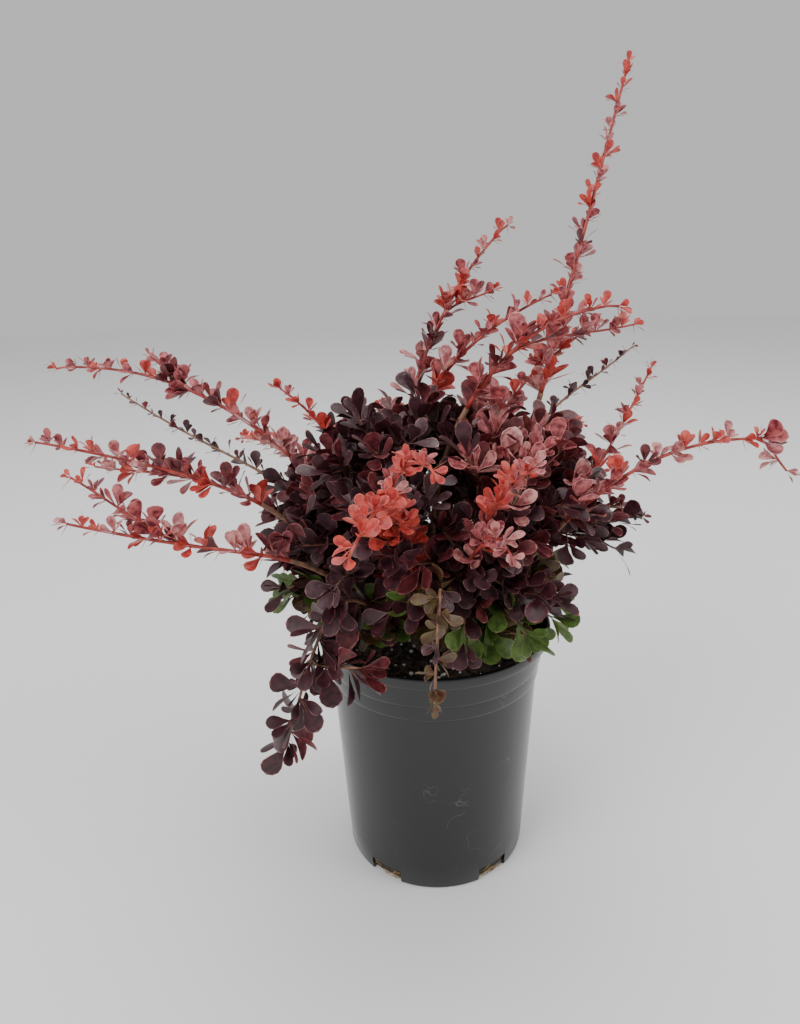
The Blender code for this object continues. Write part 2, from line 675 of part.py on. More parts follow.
leaf_total = 0
leaf_trees = []
leaf_places = np.zeros((0, 3))
for limb in limbs:
    name, kind = limb['name'], limb['kind']
    drooping = name.endswith('droop')
    pitch, long0, wide0, long1, wide1 = FOLIAGE['droop' if name in ('left_droop', 'back_droop') else kind]
    slight = min(1.0, limb['radii'][limb['split']] / 0.0014) if kind == 'cane' else 1.0
    own_starts, own_ends, other_starts, other_ends, other_radii, rival_mask = take_sides(name)
    square = None if kind == 'cane' else limb['head']
    parts = [tube(*limb['stems'][0], 3, square)]
    for curve, radii in limb['stems'][1:]:
        parts.append(tube(curve, radii, 3))
    if kind == 'heart':
        ball, core_hub, core_room = core_ball(limb['stems'][0][0])
        parts.append(ball)
    foreign = [tree for owner_name, tree in limb_trees.items() if owner_name != name]
    for (curve, _), bare in zip(limb['stems'], limb['leafy']):
        length = float(np.linalg.norm(np.diff(curve, axis=0), axis=1).sum())
        steps = max(2, int(round(length * (1.0 - bare) / pitch)))
        turn0 = rng.uniform(0.0, 2.0 * math.pi)
        for step in range(steps + (2 if kind in ('cane', 'shoot') else 1)):
            share = min(1.0, step / steps) ** CROWDING[kind]
            place, ahead = along(curve, min(0.985 + 0.007 * max(0, step - steps), bare + (1.0 - bare) * share))
            if kind == 'heart' and np.linalg.norm(place - core_hub) < core_room + 0.001:
                continue
            for attempt in range(9):
                turn = turn0 + GOLDEN * (step + attempt) + rng.uniform(-0.3, 0.3)
                way, face = leaf_way(kind, drooping, place, ahead, turn)
                if step >= steps:
                    way = unit(way) * 0.6 + ahead * (1.0 if step > steps else 0.5)
                size = rng.uniform(0.85, 1.12) * (1.0 - 0.04 * attempt) * slight
                long = (long0 + (long1 - long0) * share) * size
                wide = (wide0 + (wide1 - wide0) * share) * size
                leaf = blade(place, way, face, long, wide, wide > 0.0170)
                marks = blade_samples(leaf[0])
                if not room_for(name, marks, CLEAR):
                    continue
                if span_distance(marks[3:], own_starts, own_ends).min() < 0.0022:
                    continue
                tree = tree_of([leaf])
                centre = marks.mean(0)
                close = np.flatnonzero(np.linalg.norm(leaf_places - centre, axis=1) < 0.050)
                if any(tree.overlap(leaf_trees[k]) for k in close):
                    continue
                if any(tree.overlap(other) for other in foreign):
                    continue
                leaf_trees.append(tree)
                leaf_places = np.vstack([leaf_places, centre])
                parts.append(leaf)
                leaf_total += 1
                break
    if kind == 'heart':
        shade = burgundy
    elif kind == 'skirt':
        shade = green
    elif drooping or name.startswith('right_dark'):
        shade = maroon
    else:
        shade = rose
    fuse('mass_' + name, parts, shade)
    if 'bough' in limb:
        solid('bough_' + name, *tube(*limb['bough'], 5, limb['head']), bark)

bpy.data.collections.remove(cutters)
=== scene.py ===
"""Looks of a potted barberry shrub: glossy nursery pot, damp mix, arching canes and rose leaves."""

import math
import random

import bpy
import numpy as np
from mathutils import Matrix, Vector


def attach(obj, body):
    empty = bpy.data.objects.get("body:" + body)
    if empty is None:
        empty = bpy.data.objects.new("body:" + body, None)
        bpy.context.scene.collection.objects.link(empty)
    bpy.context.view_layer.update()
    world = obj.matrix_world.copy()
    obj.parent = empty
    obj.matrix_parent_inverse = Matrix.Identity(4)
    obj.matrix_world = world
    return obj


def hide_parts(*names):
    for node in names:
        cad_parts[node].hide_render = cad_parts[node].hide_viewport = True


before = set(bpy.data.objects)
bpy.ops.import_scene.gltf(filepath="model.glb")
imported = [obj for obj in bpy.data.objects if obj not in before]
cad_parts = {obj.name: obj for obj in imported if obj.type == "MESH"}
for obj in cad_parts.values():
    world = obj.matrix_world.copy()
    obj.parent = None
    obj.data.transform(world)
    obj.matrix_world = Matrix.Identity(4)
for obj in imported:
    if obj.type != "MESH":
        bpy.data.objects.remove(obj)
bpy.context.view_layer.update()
bpy.ops.object.select_all(action='DESELECT')

# Nursery pot: blow-moulded black polyethylene, a thin wall with two ring steps, a rolled lip
# and drain notches round the foot. It is drawn up ring by ring from its flat foot, over the
# lip and down inside, and the notches are cut through the foot afterwards.
POT_HEIGHT = 0.183
LIP_RADIUS = 0.0825
LIP_DROP = 0.0075
FOOT_RADIUS = 0.0662
WAIST_RADIUS = 0.0737
LOWER_RING = 0.1477
UPPER_RING = 0.1590
FLOOR_THICK = 0.0030
POT_ROUND = 160
NOTCHES = 5
NOTCH_TURN = math.radians(36.0)
NOTCH_WIDTH = 0.0250
NOTCH_HEIGHT = 0.0110
NOTCH_INNER = 0.0605
CUT_PAST_WALL = 0.012
CUT_BELOW_FOOT = 0.004
POT_STATIONS = [
    (FOOT_RADIUS - 0.0022, 0.0), (FOOT_RADIUS - 0.0007, 0.0005), (FOOT_RADIUS, 0.0024),
    (FOOT_RADIUS + 0.0009, 0.0200), (WAIST_RADIUS, LOWER_RING - 0.0012),
    (WAIST_RADIUS + 0.0010, LOWER_RING - 0.0002), (WAIST_RADIUS + 0.0013, LOWER_RING + 0.0010),
    (WAIST_RADIUS + 0.0017, UPPER_RING - 0.0012), (WAIST_RADIUS + 0.0027, UPPER_RING - 0.0002),
    (WAIST_RADIUS + 0.0030, UPPER_RING + 0.0010), (0.0774, 0.1660), (0.0786, 0.1745),
    (LIP_RADIUS - 0.0006, POT_HEIGHT - LIP_DROP), (LIP_RADIUS, POT_HEIGHT - LIP_DROP + 0.0010),
    (LIP_RADIUS, POT_HEIGHT - 0.0014), (LIP_RADIUS - 0.0004, POT_HEIGHT - 0.0004),
    (LIP_RADIUS - 0.0013, POT_HEIGHT), (0.0797, POT_HEIGHT - 0.0003), (0.0790, POT_HEIGHT - 0.0014),
    (0.0768, 0.1740), (0.0746, 0.1590), (0.0722, 0.1470), (FOOT_RADIUS - 0.0016, FLOOR_THICK)]


def draw_up(name, stations, around):
    """A round shell drawn ring by ring from a filled disc, through (radius, height) stations."""
    radius, height = stations[0]
    bpy.ops.mesh.primitive_circle_add(vertices=around, radius=radius, fill_type='TRIFAN',
                                      location=(0.0, 0.0, height))
    made = bpy.context.active_object
    made.name = name
    bpy.ops.object.mode_set(mode='EDIT')
    bpy.ops.mesh.select_mode(type='EDGE')
    bpy.ops.mesh.select_all(action='SELECT')
    bpy.ops.mesh.region_to_loop()
    for wider, higher in stations[1:]:
        bpy.ops.mesh.extrude_region_move(TRANSFORM_OT_translate={'value': (0.0, 0.0, higher - height)})
        bpy.ops.transform.resize(value=(wider / radius, wider / radius, 1.0),
                                 center_override=(0.0, 0.0, higher))
        radius, height = wider, higher
    bpy.ops.mesh.edge_face_add()
    bpy.ops.mesh.poke()
    bpy.ops.mesh.select_all(action='SELECT')
    bpy.ops.mesh.normals_make_consistent(inside=False)
    bpy.ops.object.mode_set(mode='OBJECT')
    bpy.ops.object.transform_apply(location=True, rotation=True, scale=True)
    return made


def dust_effect():
    """Shader group: sparse pale specks and hairline scratches that lie on a smooth surface."""
    group = bpy.data.node_groups.new('dust_and_scratches', 'ShaderNodeTree')
    group.interface.new_socket('Speck Scale', in_out='INPUT', socket_type='NodeSocketFloat')
    group.interface.new_socket('Scratch Scale', in_out='INPUT', socket_type='NodeSocketFloat')
    group.interface.new_socket('Specks', in_out='OUTPUT', socket_type='NodeSocketFloat')
    group.interface.new_socket('Scratches', in_out='OUTPUT', socket_type='NodeSocketFloat')
    nodes, links = group.nodes, group.links
    put_in = nodes.new('NodeGroupInput')
    put_out = nodes.new('NodeGroupOutput')
    place = nodes.new('ShaderNodeTexCoord')
    cells = nodes.new('ShaderNodeTexVoronoi')
    cells.feature = 'F1'
    links.new(place.outputs['Object'], cells.inputs['Vector'])
    links.new(put_in.outputs['Speck Scale'], cells.inputs['Scale'])
    speck = nodes.new('ShaderNodeMapRange')
    speck.inputs['From Min'].default_value = 0.10
    speck.inputs['From Max'].default_value = 0.04
    links.new(cells.outputs['Distance'], speck.inputs['Value'])
    warp = nodes.new('ShaderNodeTexNoise')
    warp.inputs['Detail'].default_value = 2.0
    links.new(place.outputs['Object'], warp.inputs['Vector'])
    links.new(put_in.outputs['Scratch Scale'], warp.inputs['Scale'])
    line = nodes.new('ShaderNodeMath')
    line.operation = 'ABSOLUTE'
    centre = nodes.new('ShaderNodeMath')
    centre.operation = 'SUBTRACT'
    centre.inputs[1].default_value = 0.5
    links.new(warp.outputs['Fac'], centre.inputs[0])
    links.new(centre.outputs[0], line.inputs[0])
    thin = nodes.new('ShaderNodeMapRange')
    thin.inputs['From Min'].default_value = 0.006
    thin.inputs['From Max'].default_value = 0.001
    links.new(line.outputs[0], thin.inputs['Value'])
    links.new(speck.outputs['Result'], put_out.inputs['Specks'])
    links.new(thin.outputs['Result'], put_out.inputs['Scratches'])
    return group


def plastic_finish():
    """Glossy black plastic: faint upright draw lines, dust specks, hairline scratches and scuffs."""
    material = bpy.data.materials.new('black_nursery_plastic')
    material.use_nodes = True
    nodes, links = material.node_tree.nodes, material.node_tree.links
    shader = nodes['Principled BSDF']
    shader.inputs['Specular IOR Level'].default_value = 0.55
    wear = nodes.new('ShaderNodeGroup')
    wear.node_tree = dust
    wear.inputs['Speck Scale'].default_value = 260.0
    wear.inputs['Scratch Scale'].default_value = 34.0
    place = nodes.new('ShaderNodeTexCoord')
    patch = nodes.new('ShaderNodeTexNoise')
    patch.inputs['Scale'].default_value = 22.0
    patch.inputs['Detail'].default_value = 4.0
    links.new(place.outputs['Object'], patch.inputs['Vector'])
    where = nodes.new('ShaderNodeMapRange')
    where.inputs['From Min'].default_value = 0.52
    where.inputs['From Max'].default_value = 0.72
    links.new(patch.outputs['Fac'], where.inputs['Value'])
    marks = nodes.new('ShaderNodeMath')
    marks.operation = 'MAXIMUM'
    links.new(wear.outputs['Specks'], marks.inputs[0])
    links.new(wear.outputs['Scratches'], marks.inputs[1])
    kept = nodes.new('ShaderNodeMath')
    kept.operation = 'MULTIPLY'
    links.new(marks.outputs[0], kept.inputs[0])
    links.new(where.outputs['Result'], kept.inputs[1])
    tone = nodes.new('ShaderNodeMix')
    tone.data_type = 'RGBA'
    tone.inputs['A'].default_value = (0.0065, 0.0070, 0.0080, 1.0)
    tone.inputs['B'].default_value = (0.085, 0.082, 0.076, 1.0)
    links.new(kept.outputs[0], tone.inputs['Factor'])
    links.new(tone.outputs['Result'], shader.inputs['Base Color'])
    gloss = nodes.new('ShaderNodeMapRange')
    gloss.inputs['From Min'].default_value = 0.35
    gloss.inputs['From Max'].default_value = 0.75
    gloss.inputs['To Min'].default_value = 0.13
    gloss.inputs['To Max'].default_value = 0.26
    links.new(patch.outputs['Fac'], gloss.inputs['Value'])
    links.new(gloss.outputs['Result'], shader.inputs['Roughness'])
    upright = nodes.new('ShaderNodeMapping')
    upright.inputs['Scale'].default_value = (1.0, 1.0, 0.02)
    links.new(place.outputs['Object'], upright.inputs['Vector'])
    streak = nodes.new('ShaderNodeTexNoise')
    streak.inputs['Scale'].default_value = 240.0
    streak.inputs['Detail'].default_value = 2.0
    links.new(upright.outputs['Vector'], streak.inputs['Vector'])
    relief = nodes.new('ShaderNodeBump')
    relief.inputs['Strength'].default_value = 0.10
    relief.inputs['Distance'].default_value = 0.0004
    links.new(streak.outputs['Fac'], relief.inputs['Height'])
    links.new(relief.outputs['Normal'], shader.inputs['Normal'])
    return material


pot = draw_up('nursery_pot', POT_STATIONS, POT_ROUND)
for k in range(NOTCHES):
    turn = -0.5 * math.pi + NOTCH_TURN + k * 2.0 * math.pi / NOTCHES
    outer = FOOT_RADIUS + CUT_PAST_WALL
    reach = 0.5 * (outer + NOTCH_INNER)
    bpy.ops.mesh.primitive_cube_add(size=1.0, rotation=(0.0, 0.0, turn), location=(
        reach * math.cos(turn), reach * math.sin(turn), 0.5 * (NOTCH_HEIGHT - CUT_BELOW_FOOT)))
    cutter = bpy.context.active_object
    cutter.scale = (outer - NOTCH_INNER, NOTCH_WIDTH, NOTCH_HEIGHT + CUT_BELOW_FOOT)
    cut = pot.modifiers.new('notch', 'BOOLEAN')
    cut.object = cutter
    cut.operation = 'DIFFERENCE'
    bpy.context.view_layer.objects.active = pot
    bpy.ops.object.modifier_apply(modifier='notch')
    bpy.data.objects.remove(cutter, do_unlink=True)
bpy.ops.object.select_all(action='DESELECT')
pot.select_set(True)
bpy.ops.object.shade_smooth_by_angle(angle=math.radians(32.0))
dust = dust_effect()
pot.data.materials.clear()
pot.data.materials.append(plastic_finish())
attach(pot, "root")
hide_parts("pot")

# Potting mix: damp milled bark and peat, its top sunk 20 mm under the rim. The bed is one
# lumpy cake, and loose bark chips, white perlite grains and pale fibre lie on and in it,
# as in the drain notches, where the mix and golden fibre show.
SOIL_TOP = 0.1625
SOIL_RADIUS = 0.0741
CHIP_COUNT = 900
GRAIN_COUNT = 150
FIBRE_COUNT = 260
chance = random.Random(11)


def grain_effect():
    """Shader group: grain that fades from one tone to another, and its height for a relief."""
    group = bpy.data.node_groups.new('grain_between_tones', 'ShaderNodeTree')
    for name in ('Low Tone', 'High Tone'):
        group.interface.new_socket(name, in_out='INPUT', socket_type='NodeSocketColor')
    for name in ('Scale', 'Detail', 'Fade From', 'Fade To'):
        group.interface.new_socket(name, in_out='INPUT', socket_type='NodeSocketFloat')
    group.interface.new_socket('Colour', in_out='OUTPUT', socket_type='NodeSocketColor')
    group.interface.new_socket('Height', in_out='OUTPUT', socket_type='NodeSocketFloat')
    nodes, links = group.nodes, group.links
    put_in = nodes.new('NodeGroupInput')
    put_out = nodes.new('NodeGroupOutput')
    place = nodes.new('ShaderNodeTexCoord')
    noise = nodes.new('ShaderNodeTexNoise')
    links.new(place.outputs['Object'], noise.inputs['Vector'])
    links.new(put_in.outputs['Scale'], noise.inputs['Scale'])
    links.new(put_in.outputs['Detail'], noise.inputs['Detail'])
    fade = nodes.new('ShaderNodeMapRange')
    links.new(put_in.outputs['Fade From'], fade.inputs['From Min'])
    links.new(put_in.outputs['Fade To'], fade.inputs['From Max'])
    links.new(noise.outputs['Fac'], fade.inputs['Value'])
    tone = nodes.new('ShaderNodeMix')
    tone.data_type = 'RGBA'
    links.new(put_in.outputs['Low Tone'], tone.inputs['A'])
    links.new(put_in.outputs['High Tone'], tone.inputs['B'])
    links.new(fade.outputs['Result'], tone.inputs['Factor'])
    links.new(tone.outputs['Result'], put_out.inputs['Colour'])
    links.new(noise.outputs['Fac'], put_out.inputs['Height'])
    return group


def placed_grain(nodes, low, high, scale, detail, fade):
    """The grain group placed in a material, with its two tones, its scale and the span of its fade."""
    placed = nodes.new('ShaderNodeGroup')
    placed.node_tree = grain_group
    values = {'Low Tone': (*low, 1.0), 'High Tone': (*high, 1.0), 'Scale': scale, 'Detail': detail,
              'Fade From': fade[0], 'Fade To': fade[1]}
    for name, value in values.items():
        placed.inputs[name].default_value = value
    return placed


def bumpy_finish(name, low, high, scale, rough, depth):
    """A matte finish that wanders between two tones, with grain at the same scale."""
    material = bpy.data.materials.new(name)
    material.use_nodes = True
    nodes, links = material.node_tree.nodes, material.node_tree.links
    shader = nodes['Principled BSDF']
    shader.inputs['Roughness'].default_value = rough
    grain = placed_grain(nodes, low, high, scale, 5.0, (0.35, 0.65))
    links.new(grain.outputs['Colour'], shader.inputs['Base Color'])
    relief = nodes.new('ShaderNodeBump')
    relief.inputs['Strength'].default_value = 0.6
    relief.inputs['Distance'].default_value = depth
    links.new(grain.outputs['Height'], relief.inputs['Height'])
    links.new(relief.outputs['Normal'], shader.inputs['Normal'])
    return material


def joined(name, verts, faces, materials, which=None, smooth=True):
    """One mesh piece of the plant from many small shapes, with a material number for each face."""
    mesh = bpy.data.meshes.new(name)
    mesh.from_pydata(np.asarray(verts, float).tolist(), [], faces)
    for material in materials:
        mesh.materials.append(material)
    if which is not None:
        mesh.polygons.foreach_set('material_index', which)
    mesh.polygons.foreach_set('use_smooth', [smooth] * len(mesh.polygons))
    mesh.update()
    made = bpy.data.objects.new(name, mesh)
    bpy.context.scene.collection.objects.link(made)
    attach(made, "root")
    return made


def scatter(shapes, template, places, sizes):
    """Adds one turned and squashed copy of a small closed template at each place."""
    corners, sides = template
    verts, faces = shapes
    for place, (long, wide, thick) in zip(places, sizes):
        spin = Matrix.Rotation(chance.uniform(0.0, 6.28), 3, 'Z')
        tip = Matrix.Rotation(chance.uniform(-0.6, 0.6), 3, 'X')
        yaw = Matrix.Rotation(chance.uniform(0.0, 6.28), 3, 'Z')
        way = np.array(yaw @ tip @ spin)
        base = len(verts)
        for corner in corners:
            verts.append(np.array(place) + way @ (corner * (long, wide, thick)))
        faces += [tuple(k + base for k in side) for side in sides]


def template_of(rough):
    """Corners and sides of a low ball whose corners are pulled about by a seeded amount."""
    bpy.ops.mesh.primitive_ico_sphere_add(subdivisions=1, radius=0.5)
    ball = bpy.context.active_object
    corners = [np.array(v.co) * (1.0 + chance.uniform(-rough, rough)) for v in ball.data.vertices]
    sides = [tuple(p.vertices) for p in ball.data.polygons]
    bpy.data.objects.remove(ball, do_unlink=True)
    return corners, sides


def spots_on_soil(count):
    """Seeded places spread evenly over the top of the mix."""
    places = []
    for _ in range(count):
        away = (SOIL_RADIUS - 0.003) * math.sqrt(chance.random())
        turn = chance.uniform(0.0, 2.0 * math.pi)
        places.append((away * math.cos(turn), away * math.sin(turn),
                       SOIL_TOP + chance.uniform(-0.0004, 0.0022)))
    return places


grain_group = grain_effect()
soil = draw_up('potting_mix', [(FOOT_RADIUS - 0.0022, FLOOR_THICK + 0.0004), (0.0716, 0.1470),
                               (SOIL_RADIUS, SOIL_TOP - 0.0008)] +
               [(SOIL_RADIUS - 0.0035 * k, SOIL_TOP + 0.0002 * (k % 2)) for k in range(1, 20)], 96)
lump = random.Random(5)
for vertex in soil.data.vertices:
    if vertex.co.z > SOIL_TOP - 0.0005 and vertex.co.xy.length < SOIL_RADIUS - 0.002:
        vertex.co.z += lump.uniform(-0.0014, 0.0014)
mix_finish = bumpy_finish('damp_bark_mix', (0.010, 0.008, 0.007), (0.050, 0.036, 0.026), 260.0, 0.85, 0.0012)
soil.data.materials.clear()
soil.data.materials.append(mix_finish)
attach(soil, "root")
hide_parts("soil")

chip = template_of(0.25)
chips = ([], [])
scatter(chips, chip, spots_on_soil(CHIP_COUNT),
        [(chance.uniform(0.003, 0.009), chance.uniform(0.002, 0.004), chance.uniform(0.001, 0.0022))
         for _ in range(CHIP_COUNT)])
chip_finish = bumpy_finish('bark_chip', (0.016, 0.010, 0.008), (0.090, 0.055, 0.035), 400.0, 0.8, 0.0006)
bark_chips = joined('bark_chips', *chips, [chip_finish], smooth=False)
grains = ([], [])
grain_sizes = [chance.uniform(0.0012, 0.0034) for _ in range(GRAIN_COUNT)]
scatter(grains, template_of(0.12), [(x, y, z + 0.0006) for x, y, z in spots_on_soil(GRAIN_COUNT)],
        [(s, s * 0.9, s * 0.8) for s in grain_sizes])
perlite_finish = bumpy_finish('perlite', (0.62, 0.60, 0.55), (0.85, 0.84, 0.80), 900.0, 0.9, 0.0003)
perlite = joined('perlite_grains', *grains, [perlite_finish])


def thread(shapes, points, radius):
    """Adds one thin three-sided strand along points."""
    verts, faces = shapes
    base = len(verts)
    for p in points:
        for k in range(3):
            turn = 2.0 * math.pi * k / 3.0
            edge = np.array((math.cos(turn), 0.6 * math.sin(turn), math.sin(turn)))
            verts.append(np.array(p) + radius * edge)
    for i in range(len(points) - 1):
        for k in range(3):
            n = (k + 1) % 3
            faces.append((base + i * 3 + k, base + i * 3 + n, base + i * 3 + 3 + n, base + i * 3 + 3 + k))


fibres = ([], [])
for k in range(NOTCHES):
    turn = -0.5 * math.pi + NOTCH_TURN + k * 2.0 * math.pi / NOTCHES
    out = np.array((math.cos(turn), math.sin(turn), 0.0))
    side = np.array((-math.sin(turn), math.cos(turn), 0.0))
    for _ in range(FIBRE_COUNT // NOTCHES):
        middle = out * chance.uniform(NOTCH_INNER + 0.0004, FOOT_RADIUS - 0.0018)
        middle = middle + side * chance.uniform(-0.40, 0.40) * NOTCH_WIDTH
        middle[2] = chance.uniform(0.0012, NOTCH_HEIGHT - 0.0020)
        lean = chance.uniform(-0.9, 0.9)
        run = side * math.cos(lean) + np.array((0.0, 0.0, math.sin(lean)))
        sag = np.array((0.0, 0.0, chance.uniform(-0.0012, 0.0012)))
        half = chance.uniform(0.0014, 0.0042)
        strand = [middle + run * half * s + sag * (1.0 - s * s) for s in (-1.0, -0.5, 0.0, 0.5, 1.0)]
        strand = [np.array((p[0], p[1], min(NOTCH_HEIGHT - 0.0008, max(0.0007, p[2])))) for p in strand]
        thread(fibres, strand, chance.uniform(0.00016, 0.00034))
coir_finish = bumpy_finish('coir', (0.20, 0.105, 0.030), (0.52, 0.33, 0.12), 300.0, 0.75, 0.0002)
coir = joined('coir_fibre', *fibres, [coir_finish])

# Limbs: the rule of the solids, run again with the same named sizes, so that every stem lies
# where its solid does. A short woody stump carries canes, each a bare bough and a leafy outer
# part, shoots that are leafy along most of their length, and the short sprays of the heart.
GAP = 0.0003
STUMP_MIDDLE = np.array((-0.0008, 0.0006, 0.1765))
STUMP_RADIUS = 0.0130
STUMP_FLARE = 0.0165
START_SPREAD = math.radians(23.0)
LIMB_ROOM = 0.0048
LAST_LEAF = 0.007
CANES = [
    ('left_top', 0.0021, 0.0015, 0.0008, (-0.088, 0.010, 0.301), (-0.260, 0.040, 0.363), 0.024),
    ('left_mid', 0.0021, 0.0015, 0.0008, (-0.109, -0.030, 0.287), (-0.243, -0.050, 0.335), 0.004),
    ('left_back', 0.0017, 0.0012, 0.0007, (-0.125, 0.070, 0.275), (-0.245, 0.120, 0.329), -0.004),
    ('left_low', 0.0021, 0.0015, 0.0008, (-0.088, -0.070, 0.264), (-0.207, -0.110, 0.305), -0.003),
    ('top_whip', 0.0024, 0.0018, 0.0008, (0.074, 0.020, 0.338), (0.131, 0.060, 0.546), -0.003),
    ('top_left', 0.0020, 0.0014, 0.0008, (-0.015, 0.045, 0.333), (0.063, 0.090, 0.450), 0.018),
    ('top_fork', 0.0022, 0.0017, 0.0008, (0.020, -0.020, 0.343), (0.110, -0.050, 0.406), 0.018),
    ('top_lean', 0.0019, 0.0014, 0.0008, (0.000, 0.020, 0.346), (0.085, 0.020, 0.407), 0.008),
    ('right_thin', 0.0017, 0.0011, 0.0007, (0.096, 0.090, 0.314), (0.176, 0.150, 0.350), -0.002),
    ('right_up', 0.0019, 0.0013, 0.0008, (0.116, 0.030, 0.277), (0.169, 0.080, 0.348), -0.003),
    ('right_long', 0.0021, 0.0015, 0.0008, (0.077, -0.050, 0.273), (0.202, -0.060, 0.328), 0.020),
    ('back_left', 0.0019, 0.0013, 0.0008, (-0.085, 0.095, 0.265), (-0.165, 0.190, 0.270), 0.008),
    ('back_mid', 0.0019, 0.0013, 0.0008, (-0.015, 0.110, 0.285), (-0.040, 0.235, 0.285), 0.010),
    ('back_right', 0.0019, 0.0013, 0.0008, (0.070, 0.100, 0.275), (0.150, 0.205, 0.270), 0.008),
]
SHOOTS = [
    ('top_mid', 0.0015, 0.0012, 0.0008, (0.046, 0.020, 0.325), (0.114, 0.030, 0.386), 0.006),
    ('left_short', 0.0014, 0.0011, 0.0008, (-0.072, 0.030, 0.316), (-0.106, 0.030, 0.350), 0.002),
    ('right_dark', 0.0014, 0.0011, 0.0008, (0.095, -0.010, 0.262), (0.150, 0.000, 0.256), 0.008),
    ('front_coral', 0.0015, 0.0012, 0.0008, (-0.023, -0.110, 0.309), (-0.046, -0.200, 0.316), 0.010),
    ('front_cross', 0.0015, 0.0011, 0.0007, (-0.030, -0.105, 0.309), (-0.003, -0.160, 0.345), 0.014),
    ('front_right', 0.0014, 0.0011, 0.0007, (0.028, -0.095, 0.299), (0.046, -0.145, 0.342), 0.003),
    ('front_low', 0.0014, 0.0011, 0.0007, (0.023, -0.090, 0.275), (0.034, -0.155, 0.296), 0.010),
    ('left_droop', 0.0015, 0.0012, 0.0008, (-0.063, -0.085, 0.241), (-0.098, -0.090, 0.139), 0.006),
    ('front_droop', 0.0014, 0.0011, 0.0008, (-0.001, -0.115, 0.260), (-0.006, -0.132, 0.192), 0.004),
    ('back_droop', 0.0015, 0.0012, 0.0008, (0.030, 0.110, 0.235), (0.050, 0.160, 0.150), 0.008),
]
FORKS = [
    ('left_top', 0.42, (-0.191, 0.050, 0.365)),
    ('left_mid', 0.25, (-0.219, -0.010, 0.305)),
    ('left_low', 0.45, (-0.206, -0.080, 0.320)),
    ('top_left', 0.42, (0.044, 0.040, 0.405)),
    ('top_fork', 0.35, (0.122, -0.020, 0.388)),
    ('right_long', 0.93, (0.207, -0.060, 0.306)),
    ('left_droop', 0.35, (-0.047, -0.100, 0.204)),
]
HEART_COUNT = 10
HEART_MIDDLE = np.array((0.010, 0.000, 0.238))
HEART_RADII = np.array((0.124, 0.110, 0.110))
HEART_THICK = (0.0013, 0.0012, 0.0010)
HEART_SHOULDER = 0.42
HEART_TIP = 0.90
SKIRT_COUNT = 6
SKIRT_REACH = 0.084
SKIRT_LEVEL = 0.210
SKIRT_THICK = (0.0012, 0.0011, 0.0009)
SKIRT_SHOULDER = 0.55
SKIRT_RISE = 0.002
SKIRT_ARCH = 0.003
SKIRT_TURN = math.radians(-90.0 + 22.0)
GOLDEN = math.radians(137.5)


def unit(v):
    """The vector brought to length one."""
    return v / max(float(np.linalg.norm(v)), 1e-9)


def across(v):
    """A steady pair of directions square to v."""
    aside = np.cross(v, (0.0, 0.0, 1.0))
    if np.linalg.norm(aside) < 0.2:
        aside = np.cross(v, (0.0, 1.0, 0.0))
    aside = unit(aside)
    return aside, unit(np.cross(aside, v))


def hermite(start, end, leave, arrive, count):
    """Points on a smooth curve between two ends with given end slopes."""
    t = np.linspace(0.0, 1.0, count)[:, None]
    return ((2 * t ** 3 - 3 * t ** 2 + 1) * start + (t ** 3 - 2 * t ** 2 + t) * leave
            + (3 * t ** 2 - 2 * t ** 3) * end + (t ** 3 - t ** 2) * arrive)


def limb_line(start, heading, shoulder, tip, arch):
    """Centre line of a limb: out of the stump, through its shoulder, to its tip."""
    tip = tip - unit(tip - shoulder) * LAST_LEAF
    inner = float(np.linalg.norm(shoulder - start))
    lift = np.array((0.0, 0.0, 4.0 * arch))
    slope = (tip - shoulder) + lift
    first = hermite(start, shoulder, heading * inner, unit(slope) * inner * 0.9, 19)
    second = hermite(shoulder, tip, slope, (tip - shoulder) - lift, 22)
    return np.vstack([first, second[1:]])


def along(points, share):
    """Place and heading at a share of a polyline's length."""
    lengths = np.linalg.norm(np.diff(points, axis=0), axis=1)
    total = np.concatenate([[0.0], np.cumsum(lengths)])
    at = share * total[-1]
    i = min(int(np.searchsorted(total, at, side='right')) - 1, len(lengths) - 1)
    t = (at - total[i]) / max(lengths[i], 1e-9)
    return points[i] + (points[i + 1] - points[i]) * t, unit(points[i + 1] - points[i])


limbs = []
for rows, kind in ((CANES, 'cane'), (SHOOTS, 'shoot')):
    for name, r0, r1, r2, shoulder, tip, arch in rows:
        limbs.append({'name': name, 'kind': kind, 'thick': (r0, r1, r2), 'arch': arch,
                      'shoulder': np.array(shoulder), 'tip': np.array(tip)})
for k in range(HEART_COUNT):
    level = 0.97 - 0.95 * k / (HEART_COUNT - 1)
    turn = k * GOLDEN + 0.6
    flat = math.sqrt(1.0 - level * level)
    way = np.array((flat * math.cos(turn), flat * math.sin(turn), level))
    limbs.append({'name': 'heart_%d' % (k + 1), 'kind': 'heart', 'thick': HEART_THICK, 'arch': 0.0,
                  'shoulder': HEART_MIDDLE + HEART_RADII * way * HEART_SHOULDER,
                  'tip': HEART_MIDDLE + HEART_RADII * way * HEART_TIP})
for k in range(SKIRT_COUNT):
    turn = SKIRT_TURN + k * 2.0 * math.pi / SKIRT_COUNT
    way = np.array((math.cos(turn), math.sin(turn), 0.0))
    high = np.array((0.0, 0.0, 1.0))
    limbs.append({'name': 'skirt_%d' % (k + 1), 'kind': 'skirt', 'thick': SKIRT_THICK, 'arch': SKIRT_ARCH,
                  'shoulder': way * SKIRT_REACH * SKIRT_SHOULDER + high * (SKIRT_LEVEL + SKIRT_RISE),
                  'tip': way * SKIRT_REACH + high * SKIRT_LEVEL})

